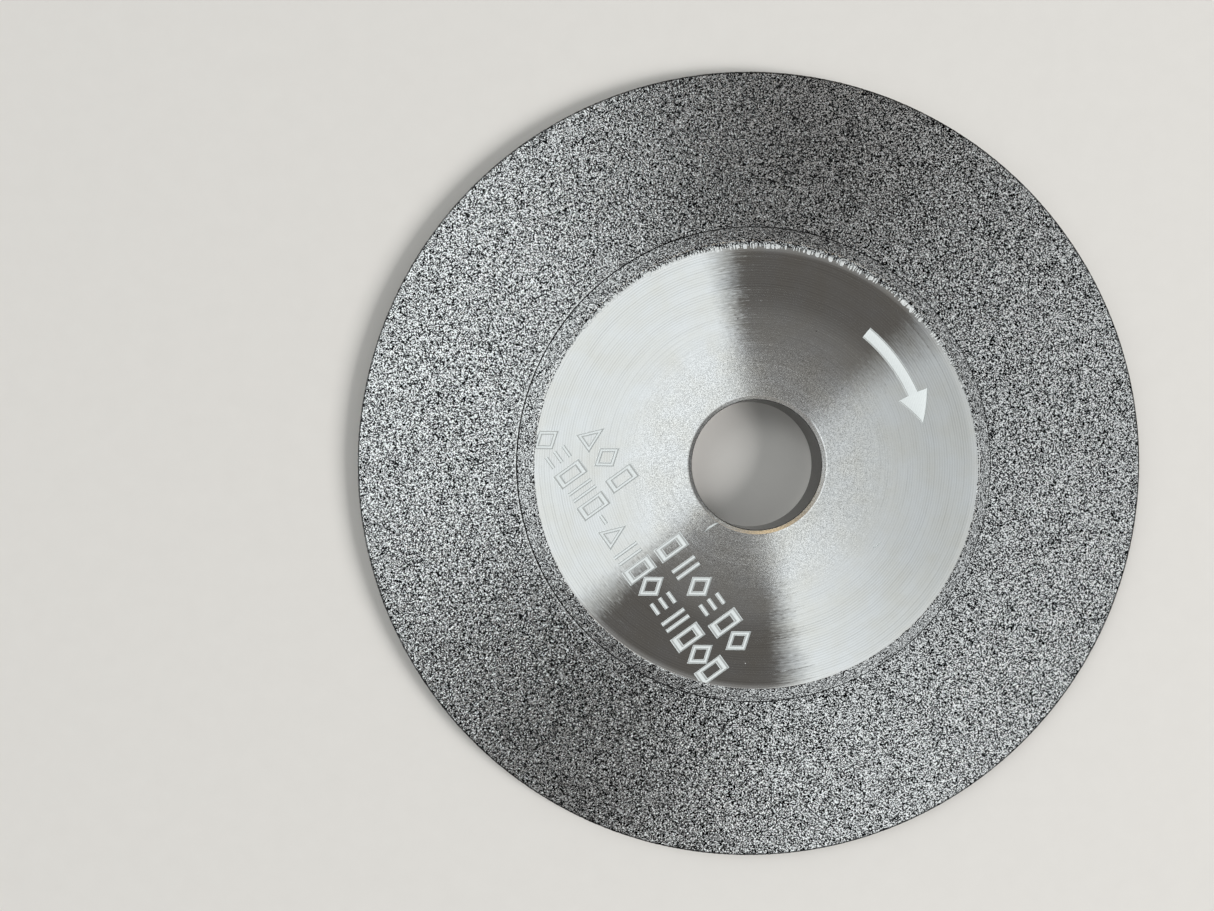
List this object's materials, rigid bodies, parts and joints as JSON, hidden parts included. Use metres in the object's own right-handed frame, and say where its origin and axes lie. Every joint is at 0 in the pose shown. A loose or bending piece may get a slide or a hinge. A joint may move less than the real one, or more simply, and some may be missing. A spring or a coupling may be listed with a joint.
{
  "type": "plated grinding wheel",
  "caption": "Flat-backed steel grinding wheel with a plated grit coat on its shallow cone, step flank and rim, a raised turned hub face and a plain chamfered bore.",
  "frame": {"origin": "on the bore axis, at the flat back face", "axes": "+Z along the bore axis, from the back face towards the raised hub face; the part is round, so +X and +Y are any two square directions across it"},
  "size_m": [0.125, 0.125, 0.008],
  "materials": {
    "turned_steel": "lathe-turned, fine concentric grooves, bright",
    "plated_grit": "rough metal-bonded grit, sparkling, matt grey"
  },
  "bodies": {
    "root": {"wheel_body": "turned_steel", "flank_grit_coat": "plated_grit", "cone_grit_coat": "plated_grit", "rim_grit_coat": "plated_grit"}
  },
  "joints": []
}
